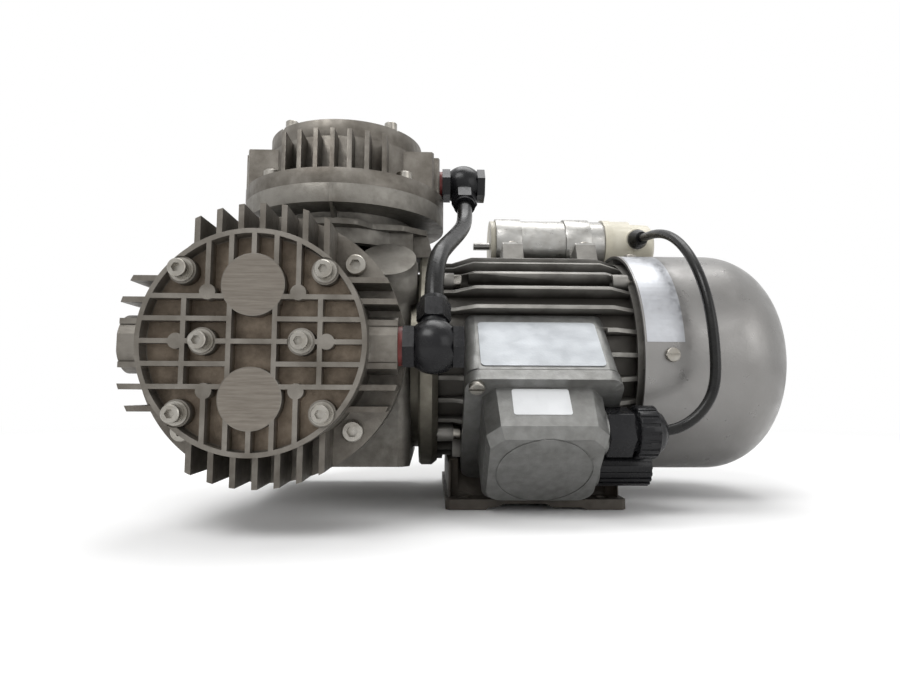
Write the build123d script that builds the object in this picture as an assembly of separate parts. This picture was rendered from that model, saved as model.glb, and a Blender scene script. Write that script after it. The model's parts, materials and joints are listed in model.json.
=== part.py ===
from build123d import *
import os
from math import atan2, cos, degrees, hypot, pi, radians, sin, tan

# Diaphragm vacuum pump with two heads at a right angle, in millimetres.
# The origin is the centre of the four foot holes, on the base's underside. X runs along the
# motor from the crankcase to the fan, the front head looks to -Y, the upper head to +Z.
# Each piece is modelled about the crank: the motor axis is X, and X = 0 is the front rod.

# Main distances
axis_height = 76.0
foot_to_crank = 120.5
rod_pitch = 17.5
eccentricity = 3.0
crank_angle = 45.0

# Clearances
press_gap = 0.05
running_gap = 0.05
seat_gap = 0.3
air_gap = 0.35

# Heads, measured outwards from the crank axis
head_seam = 86.3
flange_r = 57.5
case_flange_t = 9.9
head_flange_t = 8.1
head_height = 30.2
cover_r = 44.0
cover_t = 9.1
cover_rim = 1.9
cover_floor = 3.0
rib_t = 1.9
fin_pitch = 8.65
fin_t = 2.3
fin_step = 1.5
boss_offset = 21.9
boss_r = 12.2
small_boss_r = 3.05
post_r = 5.3
post_drop = 0.8
corner_screw_at = 27.4
middle_screw_at = 18.85
flange_screw_at = 35.6
port_half_length = 55.0
port_boss_r = 12.0
port_below_seam = 11.5
port_r = 4.3
port_depth = 13.0
passage_r = 2.5

# Diaphragm and working chamber
diaphragm_r = 47.0
diaphragm_t = 3.0
diaphragm_seat = 1.5
chamber_r = 33.0
chamber_depth = 8.1
clamp_disc_r = 20.0
clamp_disc_t = 3.0
clamp_screw_r = 3.0
valve_r = 8.0
valve_t = 0.8
valve_pocket_r = 10.4
valve_floor = 6.6
rivet_r = 1.5
oring_r = 0.9

# Connecting rods and crank
rod_t = 11.0
rod_ring_r = 23.0
rod_shank_w = 14.0
rod_plate_r = 21.0
rod_plate_t = 5.0
rod_bearing_r = 17.5
rod_bearing_bore_r = 7.5
hub_r = 20.0
hub_start = 27.0
hub_end = 46.0
weight_r = 34.0
weight_t = 9.0

# Crankcase
case_left = -30.0
case_right = 58.0
case_front = 50.0
case_back = 50.0
case_bottom = 56.0
case_wall = 6.0
chamfer_distance = 60.1
neck_r = 40.0
neck_bore_r = 34.0
shelf_top = 71.0
shelf_t = 3.0
round_boss_x = 46.0
round_boss_r = 14.4
round_boss_end = 69.6
spigot_r = 42.0
case_hole_r = 32.0
case_cover_r = 40.0
case_cover_t = 4.0
case_cover_screw_at = 25.5
adapter_screw_at = 33.0

# Adapter flange and bearings
adapter_start = 62.0
adapter_end = 72.0
adapter_r = 60.0
adapter_step_r = 50.0
bearing_r = 17.5
bearing_bore_r = 7.5
bearing_w = 11.0
front_bearing_x = 67.0
rear_bearing_x = 168.0

# Motor
frame_end = 172.0
frame_bore_r = 49.0
frame_r = 53.0
fin_tip_r = 60.0
fin_end_r = 56.5
fin_count = 30
frame_fin_t = 2.2
core_start = 95.0
core_end = 150.0
rotor_r = 29.0
shaft_r = 7.5
shaft_core_r = 8.5
shaft_crank_r = 7.0
shaft_fan_r = 6.0
shaft_end = 208.0
winding_length = 12.0
lug_at_r = 56.0
lug_r = 4.4
lug_length = 8.0

# Fan and cowl
cowl_start = 174.0
cowl_end = 259.0
cowl_r = 61.5
cowl_wall = 1.5
cowl_dome_r = 34.0
cowl_screw_x = 187.3
fan_r = 47.0
fan_start = 192.0
fan_depth = 18.0

# Base
base_left = 76.0
base_length = 89.0
base_plate_half = 55.0
base_plate_t = 5.0
base_block_half = 50.0
base_block_inset = 1.5
base_height = 23.0
base_arch = 3.0
base_cell = 22.0
foot_hole_r = 3.3
foot_pitch_x = 70.0
foot_pitch_y = 94.0
foot_pocket_r = 7.0

# Terminal box: v runs down and forward from the motor axis, u up and forward
pedestal_left = 85.0
pedestal_right = 156.0
pedestal_top_u = 50.5
pedestal_low_u = -19.5
seam_v = 62.1
gasket_t = 0.8
flange_v = 69.3
cap_v = 94.5
box_wall = 3.0
cap_left = 92.0
cap_right = 148.0
cap_top_u = 45.5
cap_low_u = -11.0
cap_draft = 2.5
cap_chamfer = 6.0
gland_u = 28.0
gland_v = 80.0
gland_hex = 20.4
gland_body_length = 12.0
gland_nut_r = 12.2
gland_nut_length = 14.5
plug_u = 4.0
plug_v = 80.0
plug_r = 9.9
plug_length = 25.0

# Capacitor
can_r = 16.5
can_y = 32.0
can_z = 75.8
can_start = 108.7
can_end = 179.5
cap_collar_r = 17.6
cap_collar_start = 177.5
cap_collar_end = 182.3
cap_wide_r = 17.0
cap_wide_end = 195.5
cap_narrow_r = 15.3
cap_end = 209.5

# Hose fittings
ball_r = 11.7
ball_half = 8.0
collar_hex = 17.0
seal_t = 1.8
collar_t = 4.7
bolt_head_t = 4.5
hose_r = 4.25
hose_nut_hex = 13.0
cable_r = 2.5

# Screws and small parts
screw_r = 2.0
screw_head_r = 3.5
screw_head_t = 4.0
screw_socket = 3.2
screw_length = 14.0
washer_r = 4.6
washer_t = 0.9
spring_r = 3.7
spring_t = 1.1
head_screw_r = 2.5
head_screw_head_r = 4.4
head_screw_head_t = 5.0
head_screw_socket = 4.2
head_screw_length = 16.0
valve_hole_r = 1.3
valve_hole_at = 4.2
gland_stem_r = 8.0
plug_stem_r = 6.0
clamp_x = (116.6, 160.5)
clamp_w = 16.0
outlet_length = 25.0
grommet_length = 9.0
box_corner_r = 5.0

# Values that follow
frame_place = Location((-foot_to_crank, 0, axis_height))
flange_top = head_seam + head_flange_t
case_flange_low = head_seam - case_flange_t
cover_seam = head_seam + head_height
cover_top = cover_seam + cover_t
port_z = cover_seam - port_below_seam
post_top = cover_top - post_drop
fin_top = cover_seam - fin_step
pin_y = -eccentricity * sin(radians(crank_angle))
pin_z = eccentricity * cos(radians(crank_angle))
chamber_top = head_seam + chamber_depth
valve_floor_top = chamber_top + valve_floor
base_bottom = -axis_height
base_top = base_bottom + base_height
shield_end = frame_end + 6.0
shield_lug_end = cowl_screw_x + 4.2
base_right = base_left + base_length
base_mid = (base_left + base_right) / 2
base_screw_spots = [(base_mid + x, y) for x in (-27, 27) for y in (-12, 24)]
diag = 1 / 2 ** 0.5

# The two heads: place of a piece modelled with the head's axis on Z, and where the crank pin
# lies at rest in that head's own directions, outwards and sideways. The heads work in series,
# so the upper one is turned half round, with its inlet on the hose's side.
heads = {
    "front": (Rot(90, 0, 0), -pin_y, pin_z),
    "upper": (Pos(rod_pitch, 0, 0), pin_z, pin_y),
}
valve_turn = {"front": Rot(0, 0, 0), "upper": Rot(0, 0, 180)}


def x_cyl(radius, x0, x1, y=0.0, z=0.0):
    return Pos((x0 + x1) / 2, y, z) * Rot(0, 90, 0) * Cylinder(radius, x1 - x0)


def z_cyl(radius, z0, z1, x=0.0, y=0.0):
    return Pos(x, y, (z0 + z1) / 2) * Cylinder(radius, z1 - z0)


def block(x0, x1, y0, y1, z0, z1):
    return Pos((x0 + x1) / 2, (y0 + y1) / 2, (z0 + z1) / 2) * Box(x1 - x0, y1 - y0, z1 - z0)


def face_of(points):
    return make_face(Polyline(*points, close=True))


def x_turn(points):
    """Turns a profile of (x, radius) points about the X axis."""
    return revolve(Plane.XZ * face_of(points), Axis.X)


def z_turn(points):
    """Turns a profile of (radius, z) points about the Z axis."""
    return revolve(Plane.XZ * face_of(points), Axis.Z)


def x_prism(points, x0, x1):
    """A prism along X from a profile of (y, z) points."""
    return extrude(Plane((x0, 0, 0), (0, 1, 0), (1, 0, 0)) * face_of(points), x1 - x0)


def box_place(x, u, v):
    """Location on the terminal box, with local x along X, local y along u, local z along v."""
    origin = (x, -diag * (u + v), diag * (u - v))
    return Plane(origin, (1, 0, 0), (0, -diag, -diag)).location


def corner_points(at):
    return [(at, at), (-at, at), (-at, -at), (at, -at)]


def cap_screw(radius, head_r, head_t, socket, length):
    """Cap screw with a hexagon socket, pointing down from z = 0, its head above."""
    screw = z_cyl(head_r, 0, head_t) + z_cyl(radius, -length, 0)
    hexagon = extrude(Pos(0, 0, head_t) * RegularPolygon(socket / 2, 6, major_radius=False), -head_t * 0.55)
    return chamfer(screw.edges().filter_by(GeomType.CIRCLE).sort_by(Axis.Z)[-1], 0.4) - hexagon


def slot_screw(radius, head_r, head_t, slot_w, length):
    """Slotted cheese-head screw, pointing down from z = 0, its head above."""
    screw = z_cyl(head_r, 0, head_t) + z_cyl(radius, -length, 0)
    screw = fillet(screw.edges().filter_by(GeomType.CIRCLE).sort_by(Axis.Z)[-1], head_t * 0.3)
    return screw - Pos(0, 0, head_t) * Box(2.2 * head_r, slot_w, head_t * 0.8)


cover_screw_spots = corner_points(corner_screw_at) + [(middle_screw_at, 0), (-middle_screw_at, 0)]


def on_heads(shape_of):
    """One shape for each head, placed, in one compound."""
    placed = [heads[head][0] * valve_turn[head] * shape_of() for head in heads]
    return Compound([solid for shape in placed for solid in shape.solids()])


# Covers



def rib_strip(x0, x1, y0, y1):
    if x0 == x1:
        return Pos(x0, (y0 + y1) / 2) * Rectangle(rib_t, abs(y1 - y0))
    return Pos((x0 + x1) / 2, y0) * Rectangle(abs(x1 - x0), rib_t)


def cover_ribs():
    """The rib pattern of a cover, as a flat sketch."""
    p = fin_pitch
    ribs = Sketch()
    for side in (1, -1):
        for k in (-1, 0, 1):
            ribs += rib_strip(k * p, k * p, side * boss_offset, side * cover_r)
        for k in (-2, 2):
            ribs += rib_strip(k * p, k * p, side * 2 * p, side * cover_r)
        ribs += rib_strip(side * p, side * p, -boss_offset, boss_offset)
        ribs += rib_strip(side * 3 * p, side * 3 * p, -2 * p, 2 * p)
        for k in (-2, 2):
            ribs += rib_strip(side * p, side * cover_r, k * p, k * p)
        for k in (-1, 1):
            ribs += rib_strip(side * p, side * cover_r, k * p, k * p)
    ribs += rib_strip(-cover_r, cover_r, 0, 0)
    for y in (boss_offset, -boss_offset):
        ribs += Pos(0, y) * Circle(boss_r)
        for x in (2 * p, -2 * p):
            ribs += Pos(x, y * 2 * p / boss_offset + y / abs(y) * small_boss_r * 0.55) * Circle(small_boss_r)
    for x in (28.5, -28.5):
        ribs += Pos(x, 0) * Circle(small_boss_r)
    ribs += Circle(cover_r) - Circle(cover_r - cover_rim)
    return ribs & Circle(cover_r)


def head_cover():
    floor_top = cover_seam + cover_floor
    cover = z_cyl(cover_r, cover_seam, floor_top)
    cover += extrude(Pos(0, 0, floor_top) * cover_ribs(), cover_top - floor_top)
    posts = Sketch()
    for x, y in cover_screw_spots:
        posts += Pos(x, y) * Circle(post_r)
    posts = posts & Circle(cover_r)
    cover -= [z_cyl(post_r, post_top, cover_top + 1, x, y) for x, y in cover_screw_spots]
    cover += extrude(Pos(0, 0, floor_top) * posts, post_top - floor_top)
    holes = [z_cyl(screw_r + 0.2, cover_seam - 1, cover_top + 1, x, y) for x, y in cover_screw_spots]
    return cover - holes


def cover_screws():
    lift = post_top + washer_t + spring_t
    screw = cap_screw(screw_r, screw_head_r, screw_head_t, screw_socket, screw_length + washer_t + spring_t)
    return Compound([Pos(x, y, lift) * screw for x, y in cover_screw_spots])


def cover_washers():
    hole = screw_r + press_gap
    rings = []
    for x, y in cover_screw_spots:
        flat = z_cyl(washer_r, post_top, post_top + washer_t, x, y)
        spring = z_cyl(spring_r, post_top + washer_t, post_top + washer_t + spring_t, x, y)
        rings.append(flat + spring - z_cyl(hole, post_top - 1, post_top + 5, x, y))
    return Compound(rings)


def head_orings():
    """Two rings that seal the valve pockets under the cover."""
    rings = []
    for y in (boss_offset, -boss_offset):
        rings.append(Pos(0, y, cover_seam - oring_r) * Torus(valve_pocket_r + 1.9, oring_r - press_gap))
    return Compound(rings)


# Head plates



def head_fins():
    """Fins on all four sides of a head plate, cut to the flange's circle."""
    fins = Sketch()
    for k in range(-3, 4):
        fins += Pos(k * fin_pitch, 0) * Rectangle(fin_t, 2 * flange_r)
        if k != 0:
            fins += Pos(0, k * fin_pitch) * Rectangle(2 * flange_r, fin_t)
    fins = fins & Circle(flange_r - 0.2)
    return extrude(Pos(0, 0, flange_top) * fins, fin_top - flange_top)


def head_plate():
    plate = z_cyl(flange_r, head_seam, flange_top)
    plate += head_fins()
    plate += z_cyl(cover_r, flange_top, cover_seam)
    plate += x_cyl(port_boss_r, -port_half_length, port_half_length, 0, port_z) - z_cyl(70, cover_seam, 140)
    cuts = [z_cyl(diaphragm_r + 0.5, head_seam - 1, head_seam + diaphragm_seat)]
    cuts.append(z_turn([(0, head_seam), (chamber_r, head_seam), (chamber_r - 2, chamber_top), (0, chamber_top)]))
    for side in (1, -1):
        cuts.append(x_cyl(port_r, side * (port_half_length - port_depth), side * (port_half_length + 5), 0, port_z)
                    if side > 0 else
                    x_cyl(port_r, -port_half_length - 5, -port_half_length + port_depth, 0, port_z))
        inner = 6.0
        outer = port_half_length - port_depth + 1
        cuts.append(x_cyl(passage_r, min(side * inner, side * outer), max(side * inner, side * outer), 0, port_z))
        turn = boss_offset - valve_pocket_r / 2
        cuts.append(Pos(side * inner, -side * turn / 2, port_z) * Rot(90, 0, 0) * Cylinder(passage_r, turn))
        cuts.append(z_cyl(valve_pocket_r, valve_floor_top, cover_seam + 1, 0, side * boss_offset))
        groove = z_cyl(valve_pocket_r + 2.9, cover_seam - 2 * oring_r, cover_seam + 1, 0, side * boss_offset)
        cuts.append(groove - z_cyl(valve_pocket_r + 0.9, 0, 200, 0, side * boss_offset))
        cuts.append(z_cyl(rivet_r + press_gap, chamber_top - 1, valve_floor_top + 1, 0, side * boss_offset))
        for k in range(4):
            x = valve_hole_at * cos(pi / 4 + k * pi / 2)
            y = side * boss_offset + valve_hole_at * sin(pi / 4 + k * pi / 2)
            cuts.append(z_cyl(valve_hole_r, chamber_top - 1, valve_floor_top + 1, x, y))
        face = side * port_half_length
        cuts.append(block(min(face, 2 * face), max(face, 2 * face), -13, 13, flange_top, cover_seam + 1))
    cuts.append(z_cyl(valve_r + 0.5, chamber_top - 1, chamber_top + valve_t + 0.3, 0, boss_offset))
    for x, y in cover_screw_spots:
        cuts.append(z_cyl(screw_r + press_gap, post_top - screw_length - 1, cover_seam + 1, x, y))
    for x, y in corner_points(flange_screw_at):
        cuts.append(z_cyl(head_screw_r + 0.25, head_seam - 1, flange_top + 1, x, y))
    return plate - cuts


def head_screws():
    screw = cap_screw(head_screw_r, head_screw_head_r, head_screw_head_t, head_screw_socket, head_screw_length)
    return Compound([Pos(x, y, flange_top) * screw for x, y in corner_points(flange_screw_at)])


def valve_flaps():
    hole = rivet_r + press_gap
    roof = chamber_top + valve_t + 0.3
    inlet = z_cyl(valve_r, roof - valve_t, roof, 0, boss_offset)
    outlet = z_cyl(valve_r, valve_floor_top, valve_floor_top + valve_t, 0, -boss_offset)
    drill = [z_cyl(hole, 0, 200, 0, boss_offset), z_cyl(hole, 0, 200, 0, -boss_offset)]
    return Compound([inlet - drill[0], outlet - drill[1]])


def valve_rivets():
    """A rivet through each valve floor; its head holds the flap at the middle."""
    roof = chamber_top + valve_t + 0.3
    inlet = z_cyl(rivet_r, roof - valve_t - 0.6, valve_floor_top + 0.6, 0, boss_offset)
    inlet += z_cyl(2.6, roof - valve_t - 0.6, roof - valve_t, 0, boss_offset)
    inlet += z_cyl(2.6, valve_floor_top, valve_floor_top + 0.6, 0, boss_offset)
    outlet = z_cyl(rivet_r, chamber_top - 0.6, valve_floor_top + valve_t + 0.6, 0, -boss_offset)
    outlet += z_cyl(2.6, chamber_top - 0.6, chamber_top, 0, -boss_offset)
    outlet += z_cyl(2.6, valve_floor_top + valve_t, valve_floor_top + valve_t + 0.6, 0, -boss_offset)
    return Compound([inlet, outlet])


# Diaphragm and rod, with the crank pin's place at rest in the head's directions


def diaphragm(outward, sideways):
    low = head_seam - diaphragm_seat
    high = low + diaphragm_t
    centre_r = clamp_disc_r + 4
    roll_r = chamber_r - 1
    skin = z_turn([
        (0, low + outward), (centre_r, low + outward), (roll_r - 3, low + outward / 2 - 1.5), (roll_r, low),
        (diaphragm_r, low), (diaphragm_r, high),
        (roll_r, high), (roll_r - 3, high + outward / 2 - 1.5), (centre_r, high + outward), (0, high + outward),
    ])
    return skin - z_cyl(clamp_screw_r + seat_gap, low - 10, high + 10, 0, sideways)


def clamp_disc(outward, sideways):
    low = head_seam - diaphragm_seat + diaphragm_t + outward + seat_gap
    top = low + clamp_disc_t
    disc = z_turn([(0, low), (clamp_disc_r - 1, low), (clamp_disc_r, low + 1), (clamp_disc_r - 3, top), (0, top)])
    sink = z_turn([(0, top - 2), (clamp_screw_r + press_gap, top - 2), (clamp_screw_r + 2.1, top + 0.1), (0, top + 0.1)])
    return Pos(0, sideways, 0) * (disc - sink - z_cyl(clamp_screw_r + press_gap, low - 1, top + 1))


def clamp_screw(outward, sideways):
    """Countersunk screw that holds diaphragm and disc on the rod."""
    top = head_seam - diaphragm_seat + diaphragm_t + outward + seat_gap + clamp_disc_t
    screw = z_turn([
        (0, top - 14), (clamp_screw_r, top - 14), (clamp_screw_r, top - 2), (clamp_screw_r + 2, top), (0, top),
    ])
    socket = extrude(Pos(0, 0, top) * RegularPolygon(2.0, 6, major_radius=False), -2)
    return Pos(0, sideways, 0) * (screw - socket)


def connecting_rod(outward, sideways):
    """Ring for the bearing, tapered I-section shank, and the plate that backs the diaphragm."""
    plate_top = head_seam - diaphragm_seat + outward - seat_gap
    plate_low = plate_top - rod_plate_t
    rod = z_turn([
        (0, plate_low - 6), (rod_t / 2 + 1, plate_low - 6), (rod_plate_r - 1, plate_low + 2),
        (rod_plate_r, plate_low + 3), (rod_plate_r, plate_top - 1), (rod_plate_r - 1, plate_top), (0, plate_top),
    ])
    shank = face_of([
        (-rod_shank_w / 2 - 3, 12 + outward), (rod_shank_w / 2 + 3, 12 + outward),
        (rod_shank_w / 2 - 1.5, plate_low), (-rod_shank_w / 2 + 1.5, plate_low),
    ])
    rod += extrude(Plane((-rod_t / 2, 0, 0), (0, 1, 0), (1, 0, 0)) * shank, rod_t)
    rod += x_cyl(rod_ring_r, -rod_t / 2, rod_t / 2, 0, outward)
    window = face_of([
        (-rod_shank_w / 2 + 1, 27 + outward), (rod_shank_w / 2 - 1, 27 + outward),
        (rod_shank_w / 2 - 3.5, plate_low - 8), (-rod_shank_w / 2 + 3.5, plate_low - 8),
    ])
    for side in (1, -1):
        pocket = Plane((side * rod_t / 2, 0, 0), (0, 1, 0), (1, 0, 0)) * window
        rod -= extrude(pocket, -side * 3.5)
    rod -= x_cyl(rod_bearing_r + press_gap, -rod_t, rod_t, 0, outward)
    rod -= z_cyl(clamp_screw_r + press_gap, plate_top - 12, plate_top + 1)
    return Pos(0, sideways, 0) * rod


def bearing_ring(outer_r, bore_r, width):
    """Ball bearing drawn as one ring with a shield groove on each side."""
    half = width / 2
    groove = (bore_r + 2.2, outer_r - 2.6)
    return x_turn([
        (-half, bore_r), (-half, groove[0]), (-half + 0.7, groove[0]), (-half + 0.7, groove[1]), (-half, groove[1]),
        (-half, outer_r), (half, outer_r), (half, groove[1]), (half - 0.7, groove[1]), (half - 0.7, groove[0]),
        (half, groove[0]), (half, bore_r),
    ])


def rod_bearing(outward, sideways):
    return Pos(0, sideways, outward) * bearing_ring(rod_bearing_r, rod_bearing_bore_r + running_gap, rod_t)


# Crank


def eccentric():
    """Hub on the motor shaft, with the crank pin that carries both rod bearings."""
    hub = x_cyl(hub_r, hub_start, hub_end)
    pin_end = -rod_t / 2 - 0.6
    collar = rod_bearing_bore_r + 2.6
    pin = x_cyl(rod_bearing_bore_r, pin_end, hub_start + 1, pin_y, pin_z)
    pin += x_cyl(collar, rod_t / 2 + seat_gap, rod_pitch - rod_t / 2 - seat_gap, pin_y, pin_z)
    pin += x_cyl(collar, rod_pitch + rod_t / 2 + seat_gap, hub_start + 1, pin_y, pin_z)
    crank = hub + pin
    crank -= x_cyl(shaft_crank_r + press_gap, hub_start + 3, hub_end + 1)
    screw_hole = Pos(hub_end - 5, 0, 0) * Cylinder(2.5 + press_gap, 60, align=(Align.CENTER, Align.CENTER, Align.MIN))
    return crank - Rot(crank_angle, 0, 0) * screw_hole


def pin_retainer():
    """Washer and screw on the end of the crank pin, which hold the rods on."""
    x1 = -rod_t / 2 - 0.6
    washer = x_cyl(rod_bearing_bore_r + 2.5, x1 - 1.6, x1, pin_y, pin_z)
    return washer + x_cyl(4.2, x1 - 4.6, x1 - 1.6, pin_y, pin_z) - x_cyl(2.0, x1 - 5, x1 - 2.6, pin_y, pin_z)


def counterweight():
    """Sector opposite the crank pin, clamped round the hub."""
    start = hub_end - weight_t
    ring = x_cyl(weight_r, start, hub_end) - x_cyl(hub_r + press_gap, start - 1, hub_end + 1)
    away = block(start - 1, hub_end + 1, -80, 80, -80, 6)
    return ring & (Rot(crank_angle, 0, 0) * away)


def set_screw():
    screw = Cylinder(2.5, hub_r - shaft_crank_r - 1, align=(Align.CENTER, Align.CENTER, Align.MIN))
    socket = Pos(0, 0, hub_r - shaft_crank_r - 3) * extrude(RegularPolygon(1.3, 6, major_radius=False), 3)
    return Rot(crank_angle, 0, 0) * Pos(hub_end - 5, 0, shaft_crank_r + press_gap) * (screw - socket)


# Crankcase


def case_profile(inset):
    """Cross-section of the crankcase with its sloped front edge, as (y, z) points."""
    front = -case_front + inset
    slope = chamfer_distance - inset
    step_y = -29 + inset
    top = shelf_top - shelf_t / 2 - inset
    return [
        (front, -case_bottom + inset), (front, slope / diag + front),
        (step_y, slope / diag + step_y), (step_y, top),
        (case_back - inset, top), (case_back - inset, -case_bottom + inset),
    ]


def case_shelf():
    outline = Polyline(
        (-22.5, 46), (-22.5, -32), (-8, -45), (16, -48.3), (29, -46), (37, -36.5), (53, -33.8), (65.6, -23),
        (65.6, 46), close=True)
    sheet = make_face(outline)
    sheet = fillet(sheet.vertices(), 4)
    return extrude(Pos(0, 0, shelf_top - shelf_t) * sheet, shelf_t)


def round_boss():
    """Machined round boss on the 45-degree edge."""
    axis = Plane((round_boss_x, 0, 0), (1, 0, 0), (0, -diag, diag))
    flare = round_boss_r + 3
    profile = [(0, 51), (flare + 2, 51), (flare, 61), (round_boss_r + 0.8, 65), (round_boss_r, 66.5),
               (round_boss_r, round_boss_end), (0, round_boss_end)]
    boss = axis.location * z_turn(profile)
    return boss & block(case_left, 61, -120, 120, -120, 120)


def neck(place, base):
    shape = z_cyl(neck_r, base, case_flange_low + 1) + z_cyl(flange_r, case_flange_low, head_seam)
    return place * shape


def crankcase():
    case = x_prism(case_profile(0), case_left, case_right)
    case = fillet(case.edges().filter_by(Axis.Z).group_by(Axis.Y)[0], 6)
    case += neck(heads["front"][0], 40)
    case += neck(heads["upper"][0], 60)
    case += case_shelf()
    case += round_boss()
    rib = [(-flange_r - 0.3, head_seam), (-flange_r - 0.3, case_flange_low), (-47, shelf_top - 1), (-38, shelf_top - 1),
           (-38, head_seam)]
    case += x_prism(rib, rod_pitch - 1.0, rod_pitch + 0.6)
    wedge = Plane.XZ * face_of([(case_right - 4, shelf_top - 1), (65.6, shelf_top - 1), (69.5, 55), (case_right - 4, 55)])
    wedge = extrude(wedge, 22, both=True)
    case += wedge - x_cyl(adapter_r + seat_gap, 50, 80)
    inner = x_prism(case_profile(case_wall), case_left + case_wall, case_right - case_wall)
    cuts = [inner]
    for place, outward, sideways in heads.values():
        cuts.append(place * z_cyl(neck_bore_r, 30, head_seam + 1))
        cuts.append(place * z_cyl(diaphragm_r + 0.5, head_seam - diaphragm_seat, head_seam + 1))
        for x, y in corner_points(flange_screw_at):
            cuts.append(place * z_cyl(head_screw_r + press_gap, flange_top - head_screw_length - 0.5, head_seam + 1, x, y))
    cuts.append(x_cyl(spigot_r + press_gap, case_right - case_wall - 1, case_right + 20))
    cuts.append(x_cyl(case_hole_r, case_left - 1, case_left + case_wall + 1))
    for y, z in corner_points(case_cover_screw_at):
        cuts.append(x_cyl(screw_r + press_gap, case_left - 1, case_left + case_wall + 1, y, z))
    for y, z in corner_points(adapter_screw_at):
        cuts.append(x_cyl(head_screw_r + 0.25, case_right - case_wall - 1, case_right + 1, y, z))
    return case - cuts


def crankcase_cover():
    """Round side cover with a spigot and a stiffening ring."""
    x0 = case_left - case_cover_t
    cover = x_cyl(case_cover_r, x0, case_left) + x_cyl(case_hole_r - 0.2, case_left, case_left + 3)
    cover -= x_cyl(24, x0 - 1, x0 + 1.5) - x_cyl(19, x0 - 2, x0 + 2)
    for y, z in corner_points(case_cover_screw_at):
        cover -= x_cyl(screw_r + 0.2, x0 - 1, case_left + 4, y, z)
    return chamfer(cover.edges().filter_by(GeomType.CIRCLE).group_by(Axis.X)[0].sort_by(SortBy.RADIUS)[-1], 0.8)


def crankcase_cover_screws():
    screw = cap_screw(screw_r, screw_head_r, screw_head_t, screw_socket, 9.0)
    turn = Rot(0, -90, 0)
    spots = corner_points(case_cover_screw_at)
    return Compound([Pos(case_left - case_cover_t, y, z) * turn * screw for y, z in spots])


def adapter_screws():
    """Screws from inside the crankcase into the adapter flange."""
    screw = cap_screw(head_screw_r, head_screw_head_r, head_screw_head_t, head_screw_socket, 14.0)
    turn = Rot(0, -90, 0)
    spots = corner_points(adapter_screw_at)
    return Compound([Pos(case_right - case_wall, y, z) * turn * screw for y, z in spots])


# Motor


def adapter_flange():
    """Motor end shield that bolts to the crankcase and carries the front bearing."""
    body = x_turn([
        (case_right - case_wall, 24), (case_right - case_wall, spigot_r), (case_right, spigot_r),
        (case_right, adapter_step_r), (adapter_start, adapter_step_r), (adapter_start, adapter_r - 1.2),
        (adapter_start + 1.2, adapter_r), (adapter_end - 3, adapter_r), (adapter_end, adapter_r - 2.5),
        (adapter_end, frame_bore_r - press_gap), (adapter_end + 3, frame_bore_r - press_gap),
        (adapter_end + 3, 44), (adapter_end, 42), (adapter_end, 26), (front_bearing_x + bearing_w, 22),
        (front_bearing_x + bearing_w, bearing_r + press_gap), (front_bearing_x, bearing_r + press_gap),
        (front_bearing_x, 12), (case_right - case_wall, 12),
    ])
    for y, z in corner_points(adapter_screw_at):
        body -= x_cyl(head_screw_r + press_gap, case_right - case_wall - 1, case_right + 9, y, z)
    for y, z in corner_points(lug_at_r * diag):
        body -= x_cyl(screw_r + press_gap, adapter_start + 2, adapter_end + 1, y, z)
    return body


def motor_bearings():
    ring = bearing_ring(bearing_r, bearing_bore_r + running_gap, bearing_w)
    half = bearing_w / 2
    return Compound([Pos(front_bearing_x + half, 0, 0) * ring, Pos(rear_bearing_x + half, 0, 0) * ring])


def motor_shaft():
    return x_turn([
        (hub_start + 3.2, 0), (hub_start + 3.2, shaft_crank_r), (front_bearing_x, shaft_crank_r),
        (front_bearing_x, shaft_r), (front_bearing_x + bearing_w, shaft_r),
        (front_bearing_x + bearing_w, shaft_core_r), (rear_bearing_x, shaft_core_r),
        (rear_bearing_x, shaft_r), (rear_bearing_x + bearing_w, shaft_r),
        (rear_bearing_x + bearing_w, shaft_fan_r), (shaft_end - 0.6, shaft_fan_r), (shaft_end, shaft_fan_r - 0.6),
        (shaft_end, 0),
    ])


def rotor_core():
    """Laminated core with a cast end ring on each side."""
    ring_r = rotor_r - 4
    bore = shaft_core_r + press_gap
    return x_turn([
        (core_start - 8, bore), (core_start - 8, ring_r - 2), (core_start - 6, ring_r), (core_start, ring_r),
        (core_start, rotor_r), (core_end, rotor_r), (core_end, ring_r), (core_end + 6, ring_r),
        (core_end + 8, ring_r - 2), (core_end + 8, bore),
    ])


def stator_core():
    outer = frame_bore_r - press_gap
    return x_cyl(outer, core_start, core_end) - x_cyl(rotor_r + air_gap, core_start - 1, core_end + 1)


def stator_windings():
    """Coil ends on both faces of the stator core."""
    inner_r = rotor_r + 4
    outer_r = frame_bore_r - 4
    coils = []
    for x0, side in ((core_start, -1), (core_end, 1)):
        x1 = x0 + side * winding_length
        coils.append(x_turn([
            (x0, inner_r + 2), (x1 - side * 3, inner_r), (x1, inner_r + 3), (x1, outer_r - 3),
            (x1 - side * 3, outer_r), (x0, outer_r - 1),
        ]))
    return Compound(coils)


def frame_fins():
    fins = Sketch()
    for k in range(fin_count):
        angle = k * 360 / fin_count
        fins += Rot(0, 0, angle) * Pos((frame_r + fin_tip_r) / 2 - 1, 0) * Rectangle(fin_tip_r - frame_r + 2, frame_fin_t)
    length = frame_end - adapter_end
    fins = extrude(Plane((adapter_end, 0, 0), (0, 1, 0), (1, 0, 0)) * fins, length)
    envelope = x_turn([
        (adapter_end, 40), (adapter_end, fin_end_r), (adapter_end + 8, fin_end_r), (adapter_end + 19, fin_tip_r),
        (frame_end - 11, fin_tip_r), (frame_end, fin_end_r), (frame_end, 40),
    ])
    return fins & envelope


def frame_lug(x0, x1):
    lug = x_cyl(lug_r, x0, x1, lug_at_r, 0)
    return lug + block(x0, x1, frame_bore_r + 1, lug_at_r, -lug_r, lug_r)


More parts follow.
